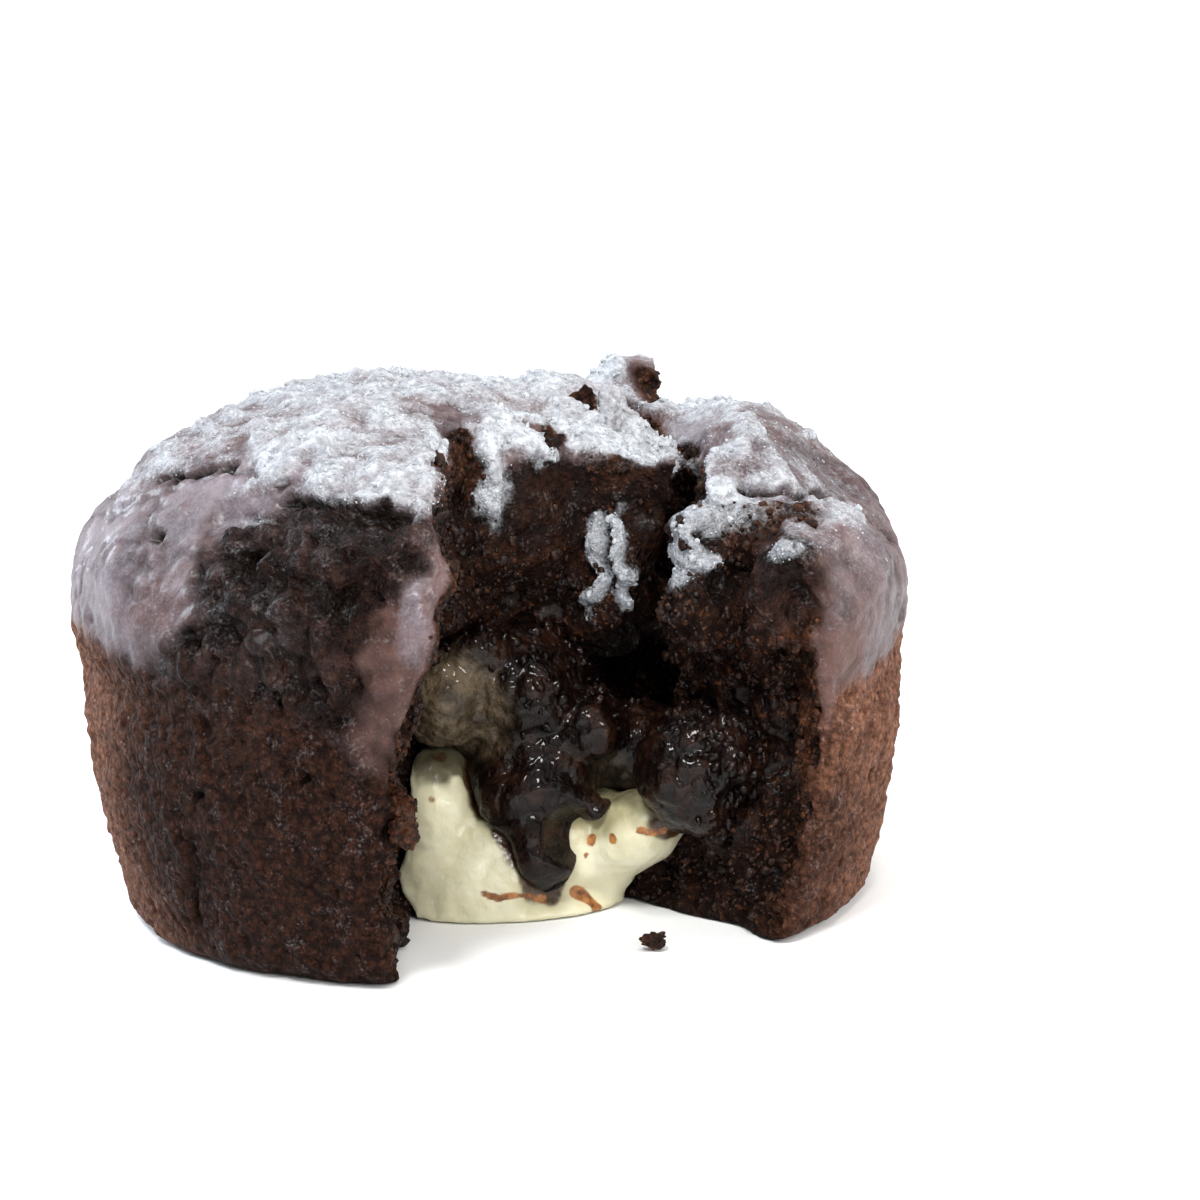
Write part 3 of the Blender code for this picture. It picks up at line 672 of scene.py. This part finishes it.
class GrainTree(Tree):
    """Geometry Nodes that strew uneven grains over a surface, as thickly as a value kept on it says."""

    INPUTS = (
        ("Surface", "NodeSocketGeometry"),
        ("Cover", "NodeSocketString"),
        ("Each Square Millimetre", "NodeSocketFloat"),
        ("Smallest", "NodeSocketFloat"),
        ("Largest", "NodeSocketFloat"),
        ("Flatness", "NodeSocketFloat"),
        ("Seed", "NodeSocketInt"),
        ("Finish", "NodeSocketMaterial"),
    )
    SHAPES = 5
    UNEVENNESS = 0.95
    NARROWNESS = 0.8
    FULL_TURN = 6.283
    MM_SQUARES_IN_SQUARE_METRE = 1e6

    def __init__(self, name, detail):
        super().__init__(bpy.data.node_groups.new(name, "GeometryNodeTree"))
        for label, kind in self.INPUTS:
            self.tree.interface.new_socket(label, in_out="INPUT", socket_type=kind)
        self.tree.interface.new_socket("Grains", in_out="OUTPUT", socket_type="NodeSocketGeometry")
        asked = self.tree.nodes.new("NodeGroupInput").outputs
        surface_in, cover, density, smallest, largest, flatness, seed, finish = (
            Wire(self, asked[label]) for label, _ in self.INPUTS
        )
        cover = self.add("GeometryNodeInputNamedAttribute", {"data_type": "FLOAT"}, {"Name": cover})
        thickly = cover * density * self.MM_SQUARES_IN_SQUARE_METRE
        spread = {"Mesh": surface_in, "Density": thickly, "Seed": seed}
        points = self.add("GeometryNodeDistributePointsOnFaces", {"distribute_method": "RANDOM"}, spread)
        turns = {0: (0, 0, 0), 1: (self.FULL_TURN,) * 3, "Seed": seed}
        turns = self.add("FunctionNodeRandomValue", {"data_type": "FLOAT_VECTOR"}, turns)
        lot = {2: 0.0, 3: 1.0, "Seed": seed + 1}
        lot = self.add("FunctionNodeRandomValue", {"data_type": "FLOAT"}, lot, output=1)
        size = (smallest + (largest - smallest) * lot * lot) * MM
        scale = {0: size, 1: size * self.NARROWNESS, 2: size * flatness}
        scale = self.add("ShaderNodeCombineXYZ", None, scale)
        shapes = [self.grain(i, detail) for i in range(self.SHAPES)]
        grains = self.add("GeometryNodeGeometryToInstance", None, {0: shapes})
        placed = self.add("GeometryNodeInstanceOnPoints", None, {
            "Points": points, "Instance": grains, "Pick Instance": True, "Rotation": turns, "Scale": scale,
        })
        made = self.add("GeometryNodeRealizeInstances", None, {"Geometry": placed})
        made = self.add("GeometryNodeSetShadeSmooth", None, {"Geometry": made})
        made = self.add("GeometryNodeSetMaterial", None, {"Geometry": made, "Material": finish})
        self.feed(self.tree.nodes.new("NodeGroupOutput").inputs[0], made)

    def grain(self, shape, detail):
        """One uneven grain, 1 across."""
        ball = self.add("GeometryNodeMeshIcoSphere", None, {"Radius": 0.5, "Subdivisions": detail})
        bulges = {"W": shape * 3.7, "Scale": 2.8, "Detail": 2.0}
        bulges = self.add("ShaderNodeTexNoise", {"noise_dimensions": "4D"}, bulges)
        outwards = self.add("GeometryNodeInputNormal")
        offset = {0: outwards, "Scale": (bulges - 0.5) * self.UNEVENNESS}
        offset = self.add("ShaderNodeVectorMath", {"operation": "SCALE"}, offset)
        return self.add("GeometryNodeSetPosition", None, {"Geometry": ball, "Offset": offset})


def strew(name, piece, grains, slot, sizes, **inputs):
    """A piece of its own: the grains that the tree strews over another piece."""
    inputs["smallest"], inputs["largest"] = sizes
    strewn = put_in_scene(name, piece.data.copy())
    modifier = strewn.modifiers.new("Strew", "NODES")
    modifier.node_group = grains.tree
    for socket in grains.tree.interface.items_tree:
        key = socket.name.lower().replace(" ", "_")
        if socket.in_out == "INPUT" and key in inputs:
            modifier[socket.identifier] = inputs[key]
    settle(strewn)
    values = strewn.data.attributes
    for spare in [value.name for value in values if value.data_type == "FLOAT" and value.name != "dry"]:
        values.remove(values[spare])
    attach(strewn, "root")


def crumb_finish():
    finish = Finish("torn_crumb")
    middling, fine = finish.noise(1.6, 2, seed=5), finish.noise(0.5, 3, 0.6, seed=9)
    finish.set(Specular_IOR_Level=0.12, Roughness=0.5, Coat_Roughness=0.22)
    colour = crumb_colour(finish, middling, fine)
    moist = (1.0 - finish.kept("dry")) * 0.16
    return finish.set(Base_Color=colour, Coat_Weight=moist, Normal=finish.bump(fine * 0.3))


small_grains, large_grains = GrainTree("small_grains", 1), GrainTree("large_grains", 2)
torn_crumb = crumb_finish()
strew(
    "torn_crumb_grains", cake, small_grains, "cake", CRUMB_SIZES, each_square_millimetre=CRUMB_DENSITY,
    cover="crumbly", flatness=0.7, seed=3, finish=torn_crumb,
)
strew(
    "torn_crumb_lumps", cake, large_grains, "cake", LUMP_SIZES, each_square_millimetre=LUMP_DENSITY,
    cover="crumbly", flatness=0.65, seed=8, finish=torn_crumb,
)

# ---- The icing sugar's grains ----
# Icing sugar, sifted over the finished cake: fine specks where it thins out, and round clots where it has
# drifted and drawn damp.

SPECK_SIZES, SPECK_DENSITY = (0.14, 0.34), 1.9
CLOT_SIZES, CLOT_DENSITY = (0.35, 1.0), 0.6


def sugar_finish():
    finish = Finish("icing_sugar")
    fine = finish.noise(0.4, 3, 0.6, seed=4)
    finish.set(Roughness=SUGAR_ROUGHNESS, Specular_IOR_Level=0.2)
    return finish.set(Base_Color=sugar_colour(finish, fine), Normal=finish.bump(fine * 0.25))


icing_sugar = sugar_finish()
strew(
    "icing_sugar_specks", cake, small_grains, "cake", SPECK_SIZES, each_square_millimetre=SPECK_DENSITY,
    cover="dusted", flatness=0.8, seed=12, finish=icing_sugar,
)
strew(
    "icing_sugar_clots", cake, large_grains, "cake", CLOT_SIZES, each_square_millimetre=CLOT_DENSITY,
    cover="clotted", flatness=0.6, seed=15, finish=icing_sugar,
)

# ---- The cream ----
# Pale, thick vanilla cream from the cake's middle, which has slumped out of the tear and settled in soft
# folds. Where the chocolate runs over it, the two have marbled.

CREAM_VOXEL = 0.3 * MM
# The sauce's tongue lies this far to the left of the CAD's, in millimetres, all of it below the second height
# and none of it above the first.
TONGUE_SHIFT = 1.3
TONGUE_HEIGHTS = (17 * MM, 12 * MM)
# Where chocolate has smeared over the cream, with how much, where it has only turned it yellow, which is
# partly painted shade in the same yellow, and where the cream swells up beside the tongue.
SMEARED = (
    ((-0.8, -10.0, 13.6), (3.2, 5.0, 4.0), 1.6),
    ((-4.6, -10.0, 15.8), (4.6, 6.0, 2.8), 1.5),
    ((10.8, -9.5, 12.0), (4.0, 5.0, 2.4), 0.9),
)
YELLOWED_AND_SHADED = ((10.5, -9.5, 10.6), (5.0, 4.5, 3.8))
SWOLLEN = ((11.5, -9.0, 10.6), (3.2, 3.0, 2.4))
# Thin streaks and specks of chocolate, as paths in millimetres, with their width and strength.
STREAKS = (
    (((-1.8, -13.4, 3.1), (-0.3, -13.3, 2.5), (1.6, -13.0, 2.6), (4.0, -11.9, 1.9)), 0.32, 1.0),
    (((6.9, -10.2, 2.0), (8.1, -10.2, 1.2), (8.9, -10.3, 0.4)), 0.6, 1.0),
    (((13.0, -14.1, 8.5), (15.3, -14.1, 8.6), (17.3, -15.2, 8.8)), 0.35, 1.0),
    (((8.4, -11.1, 7.4), (8.4, -11.1, 7.1)), 0.4, 0.9),
    (((10.5, -12.8, 7.8), (10.5, -12.8, 7.6)), 0.45, 1.0),
    (((7.9, -11.4, 5.9), (7.9, -11.4, 5.8)), 0.3, 0.8),
    (((-6.4, -12.0, 11.9), (-6.2, -12.0, 11.7)), 0.4, 0.5),
)


def detail_cream(cream):
    """Gives the cream its folds, and keeps where the chocolate has coloured it and where yellow shade is
    painted on it.
    """
    points, normals = surface(cream)
    folded = points + rumple(points, 6, 61)[:, None] * MM
    beside = TONGUE_SHIFT * MM * fade(points[:, 2], *TONGUE_HEIGHTS)[:, None] * (1, 0, 0)
    to_sauce = distance_to(skin("sauce"), points + beside, 6.0) + 0.6 * rumple(points, 2.2, 64)
    swell = 0.8 * within(points, *SWOLLEN)
    push_out(cream, points, normals, 0.28 * rumple(folded, 3.6, 62) + 0.08 * rumple(points, 1.2, 63) + swell)
    ragged = points + rumple(points, 2.5, 65)[:, None] * MM
    # The patch beside the tongue is partly painted shade, in the film's yellow.
    yellowed_and_shaded = within(points, *YELLOWED_AND_SHADED)
    keep_values(
        cream, smear=added(ragged, SMEARED), streak=along_paths(points, STREAKS, 0.2),
        film=0.8 * fade(to_sauce, 3.6, 0.5) + 1.1 * yellowed_and_shaded,
        stain=fade(to_sauce, 1.7, 0.4) * (1 - 0.8 * yellowed_and_shaded),
    )


cream = merged_copy("cream", "cream_filling")
refine(cream, CREAM_VOXEL)
detail_cream(cream)
cream.data.shade_smooth()

VANILLA = (rgb(0.560, 0.520, 0.345), rgb(0.660, 0.630, 0.470))
# The yellow of a thin chocolate film on the cream, also used as painted shade beside the tongue.
YELLOW_FILM_AND_SHADE = rgb(0.23, 0.195, 0.076)
OLIVE_SMEAR = rgb(0.060, 0.050, 0.026)
BROWN_STAIN = rgb(0.045, 0.021, 0.009)
STREAK_BROWNS = (rgb(0.10, 0.030, 0.008), rgb(0.40, 0.17, 0.05))


def cream_finish():
    finish = Finish("vanilla_cream")
    swirl, fine = finish.noise(3.2, 3, seed=2), finish.noise(0.8, 3, seed=4)
    colour = finish.mix(finish.fade(swirl, -0.3, 0.3), *VANILLA)
    # Yellow near the sauce where chocolate has thinned over the cream, and painted shade in the same yellow
    # beside the tongue.
    film = finish.fade(finish.kept("film") + swirl * 0.5, 0.1, 1.3) * 0.7
    colour = finish.mix(film, colour, YELLOW_FILM_AND_SHADE)
    smear = finish.fade(finish.kept("smear") + swirl * 0.9 + fine * 0.5, 0.15, 1.3)
    colour = finish.mix(smear * 0.92, colour, OLIVE_SMEAR)
    stain = finish.fade(finish.kept("stain") + swirl * 0.6 + fine * 0.4, 0.35, 1.0)
    colour = finish.mix(stain, colour, BROWN_STAIN)
    streak = finish.fade(finish.kept("streak") + fine * 0.5, 0.12, 0.5)
    colour = finish.mix(streak, colour, finish.mix(finish.fade(fine, -0.2, 0.2), *STREAK_BROWNS))
    height = swirl * 0.25 + fine * 0.10
    finish.set(IOR=1.45)
    finish.set(Subsurface_Weight=0.25, Subsurface_Radius=(1.0, 0.7, 0.35), Subsurface_Scale=1.5 * MM)
    return finish.set(Base_Color=colour, Roughness=0.34 - stain * 0.14, Normal=finish.bump(height))


cream.data.materials.append(cream_finish())
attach(cream, "root")
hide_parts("cream")

# ---- The chocolate sauce ----
# The molten middle: dark chocolate batter that has run down over the cream in one tongue, with half-set lumps
# in it. It is wet and glossy, and catches the light in small sparks.

SAUCE_VOXEL = 0.3 * MM
SAUCE_CRUMB_SIZES, SAUCE_CRUMB_DENSITY = (0.7, 1.7), 0.4
# The large lump, the spot that lies behind the cream, and where cream clouds the chocolate, with how much.
BLOB = ((8.7, -11.0, 17.6), (2.4, 3.0, 2.4))
BURIED = ((6.9, -12.8, 8.0), (1.7, 3.5, 2.6))
CLOUDED = (
    ((-4.5, -12.0, 20.0), (7.0, 6.0, 6.5), 1.0),
    ((10.5, -9.0, 13.0), (3.0, 4.0, 3.0), 0.6),
)


def detail_sauce(sauce):
    """Gives the sauce its lumps, shifts its tongue, and keeps where it is cloudy or holds crumbs."""
    points, normals = surface(sauce)
    x, z = points[:, 0], points[:, 2]
    blob = 1.3 * within(points, *BLOB)
    lumpy = (0.35 * beads(points, 3.0, 71) + 0.45 * beads(points, 1.5, 74) - 0.4) * fade(z, 7 * MM, 13 * MM)
    tongue = fade(z, *TONGUE_HEIGHTS) * fade(x, 6.5 * MM, 5 * MM)
    buried = within(points, *BURIED)
    rough = fade(x, 16.5 * MM, 20 * MM) * (0.6 * rumple(points, 2.2, 76) + 0.6 * beads(points, 1.8, 77) - 0.5)
    shift = np.stack([-TONGUE_SHIFT * tongue, 2.2 * buried - 0.2 * tongue, 0 * tongue], axis=1) * MM
    relief = 0.2 * rumple(points, 3.0, 72) + 0.08 * rumple(points, 1.1, 73) + lumpy + blob
    relief = relief + 0.45 * tongue - 0.9 * fade(z, 6 * MM, 2.5 * MM) + rough
    push_out(sauce, points + shift, normals, relief)
    film = added(points, CLOUDED)
    crumbed = fade(z + 2 * MM * rumple(points, 5, 75), 16 * MM, 20 * MM)
    crumbed = np.maximum(crumbed, 1.6 * fade(x, 17 * MM, 20 * MM))
    keep_values(sauce, film=film, crumbed=crumbed * (1 - np.minimum(1, film + blob)))


sauce = merged_copy("sauce", "molten_sauce")
refine(sauce, SAUCE_VOXEL)
detail_sauce(sauce)
sauce.data.shade_smooth()

MOLTEN = (rgb(0.003, 0.0011, 0.0007), rgb(0.024, 0.0084, 0.0040))
CLOUDY = (rgb(0.040, 0.027, 0.016), rgb(0.140, 0.103, 0.063))


def sauce_finish():
    finish = Finish("molten_chocolate")
    swirl, fine = finish.noise(2.6, 3, seed=6), finish.noise(0.6, 2, seed=8)
    colour = finish.mix(finish.fade(swirl + fine * 0.4, -0.1, 0.35), *MOLTEN)
    film = finish.fade(finish.kept("film") + swirl * 0.7 + fine * 0.25, 0.2, 1.2)
    cloudy = finish.mix(finish.fade(fine * 0.5 + swirl, -0.4, 0.3), *CLOUDY)
    colour = finish.mix(film * 0.8, colour, cloudy)
    height = finish.noise(1.2, 3, seed=11) * 0.75 + fine * 0.24
    finish.set(Coat_Weight=0.5, Coat_Roughness=0.06, Coat_IOR=1.34, Specular_IOR_Level=0.08)
    return finish.set(Base_Color=colour, Roughness=0.4 + fine * 0.25, Normal=finish.bump(height))


molten_chocolate = sauce_finish()
sauce.data.materials.append(molten_chocolate)
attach(sauce, "root")
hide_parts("sauce")
strew(
    "molten_sauce_crumbs", sauce, large_grains, "sauce", SAUCE_CRUMB_SIZES,
    each_square_millimetre=SAUCE_CRUMB_DENSITY,
    cover="crumbed", flatness=0.6, seed=21, finish=molten_chocolate,
)

# ---- The crust's flakes ----
# Two thin flakes of crust, lifted where the dome has cracked, with icing sugar on their backs and brown crumb
# on their broken fronts.

# Each flake's middle, its width, height and thickness in millimetres, and its turn in degrees.
CRUST_FLAKES = (((9.5, -3.6, 47.1), (2.9, 3.6, 1.0), 12), ((11.6, -3.3, 46.9), (2.3, 4.0, 1.7), -30))


def crust_flakes():
    bm = bmesh.new()
    for seed, (middle, (width, height, thickness), turn) in enumerate(CRUST_FLAKES):
        for vert in bmesh.ops.create_icosphere(bm, subdivisions=5, radius=0.5)["verts"]:
            place = vert.co * 2.6 + Vector((seed * 9, 0, 3))
            bulge = 1.1 + 0.5 * noise.noise(place) + 0.2 * noise.noise(place * 2.6)
            x, y, z = vert.co * bulge
            bent = Vector((x * width, y * thickness + 1.1 * x * x * thickness, z * height))
            vert.co = (Matrix.Rotation(math.radians(turn), 3, "Z") @ bent + Vector(middle)) * MM
    piece = from_shape("crust_flakes", bm)
    piece.data.shade_smooth()
    points, normals = surface(piece)
    front = fade(normals[:, 1] - 0.5 * normals[:, 2] + 0.3 * rumple(points, 1.2, 81), -0.1, -0.5)
    front *= fade(points[:, 0], 11.0 * MM, 10.2 * MM)
    powdered = (1 - front) * (0.95 + 0.3 * rumple(points, 1.5, 82))
    # The flakes' crust gets a little of the sugar dust and painted sheen.
    keep_values(piece, torn=front, dry=front, sugar=powdered, veil=np.full(len(points), 0.3))
    piece.data.materials.append(chocolate_sponge)
    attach(piece, "root")


crust_flakes()

# ---- The loose crumbs ----
# Two crumbs from the torn sponge. One has dropped in front of the tear, and the other clings to the tear's
# left edge.

# Each crumb's middle and its sizes across, in millimetres.
LOOSE_CRUMBS = (((13.6, -24.2, 0.95), (2.5, 1.7, 1.5)), ((-8.2, -35.8, 14.6), (2.3, 2.2, 3.0)))


def loose_crumbs():
    bm = bmesh.new()
    for seed, (middle, sizes) in enumerate(LOOSE_CRUMBS):
        for vert in bmesh.ops.create_icosphere(bm, subdivisions=5, radius=0.5)["verts"]:
            place = vert.co * 3.2 + Vector((seed * 7, 0, 0))
            bulge = 1 + 0.5 * noise.noise(place) + 0.25 * noise.noise(place * 2.3)
            bulge -= 0.2 * noise.voronoi(place * 1.7)[0][0]
            vert.co = (vert.co * bulge * Vector(sizes) + Vector(middle)) * MM
    piece = from_shape("loose_crumbs", bm)
    piece.data.shade_smooth()
    piece.data.materials.append(torn_crumb)
    keep_values(piece, dry=np.ones(len(piece.data.vertices)))
    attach(piece, "root")


loose_crumbs()

# ---- The view and the light ----
# The photograph's own view, from just above the cake, on a pale floor that curves up behind it. The light is
# soft daylight from the left and behind, with two small windows in front for the sauce's sparks.

VIEW_FROM = Vector((0, -0.290, 0.075))
VIEW_TURN, VIEW_DIP, VIEW_ROLL = math.radians(2.06), math.radians(9.15), math.radians(-1.75)
LENS, SENSOR = 91.29, 36
# The floor, in metres.
FLOOR_FRONT, FLOOR_REACH, FLOOR_GAP = -2.5, 3.0, 0.0001
CURVE_START, CURVE_RADIUS, CURVE_STEPS = 0.9, 0.8, 16
BACKDROP_HEIGHT = 2.5


def place_camera():
    flat = math.cos(VIEW_DIP)
    ahead = Vector((math.sin(VIEW_TURN) * flat, math.cos(VIEW_TURN) * flat, -math.sin(VIEW_DIP)))
    level = Vector((math.cos(VIEW_TURN), -math.sin(VIEW_TURN), 0))
    upright = level.cross(ahead)
    right = level * math.cos(VIEW_ROLL) + upright * math.sin(VIEW_ROLL)
    up = upright * math.cos(VIEW_ROLL) - level * math.sin(VIEW_ROLL)
    camera = put_in_scene("camera", bpy.data.cameras.new("camera"))
    camera.data.lens = LENS
    camera.data.sensor_width = SENSOR
    turned = Matrix((right, up, -ahead)).transposed().to_4x4()
    camera.matrix_world = Matrix.Translation(VIEW_FROM) @ turned
    bpy.context.scene.camera = camera


def soft_light(name, place, size, power, colour, aim=(0, 0, 0.02)):
    """A rectangular light: where it stands and its sizes in metres, and its watts."""
    lamp = bpy.data.lights.new(name, "AREA")
    lamp.shape = "RECTANGLE"
    lamp.size, lamp.size_y = size
    lamp.energy = power
    lamp.color = colour
    light = put_in_scene(name, lamp)
    light.location = place
    light.rotation_euler = (Vector(aim) - Vector(place)).to_track_quat("-Z", "Y").to_euler()


def pale_floor():
    """A floor that curves up into a backdrop, just under the cake's base."""
    bm = bmesh.new()
    profile = [(FLOOR_FRONT, 0)]
    for step in range(CURVE_STEPS + 1):
        turn = math.pi / 2 * step / CURVE_STEPS
        profile.append((CURVE_START + CURVE_RADIUS * math.sin(turn), CURVE_RADIUS * (1 - math.cos(turn))))
    profile.append((CURVE_START + CURVE_RADIUS, BACKDROP_HEIGHT))
    rows = [[bm.verts.new((x, y, z - FLOOR_GAP)) for x in (-FLOOR_REACH, FLOOR_REACH)] for y, z in profile]
    for near, far in zip(rows, rows[1:]):
        bm.faces.new((near[0], near[1], far[1], far[0]))
    floor = from_shape("floor", bm)
    floor.data.shade_smooth()
    floor.data.materials.append(Finish("pale_floor").set(Base_Color=rgb(0.86, 0.86, 0.86), Roughness=0.6))


place_camera()
soft_light("left_window", (-0.42, 0.10, 0.42), (0.5, 0.5), 3.6, (0.84, 0.91, 1.0))
soft_light("left_sheen", (-0.50, 0.42, 0.24), (0.22, 0.22), 1.8, (0.80, 0.89, 1.0))
soft_light("right_window", (0.50, -0.02, 0.24), (0.4, 0.4), 2.4, (1.0, 0.98, 0.95))
soft_light("backdrop_light", (0.0, 0.55, 1.3), (0.8, 0.4), 14.0, (1.0, 1.0, 1.0), (0.0, 1.7, 0.5))
soft_light("window_glint", (-0.12, -0.36, 0.46), (0.10, 0.13), 2.4, (0.97, 0.99, 1.0))
soft_light("window_spark", (0.07, -0.30, 0.48), (0.07, 0.09), 1.2, (1.0, 0.98, 0.93))
soft_light("front_fill", (0.22, -0.62, 0.26), (0.16, 0.12), 2.2, (1.0, 0.99, 0.97))
pale_floor()
world = bpy.data.worlds.new("soft_daylight")
world.use_nodes = True
sky = world.node_tree.nodes["Background"].inputs
sky["Color"].default_value = rgb(0.93, 0.96, 1.0)
sky["Strength"].default_value = 0.42
bpy.context.scene.world = world
bpy.context.scene.view_settings.view_transform = "Standard"
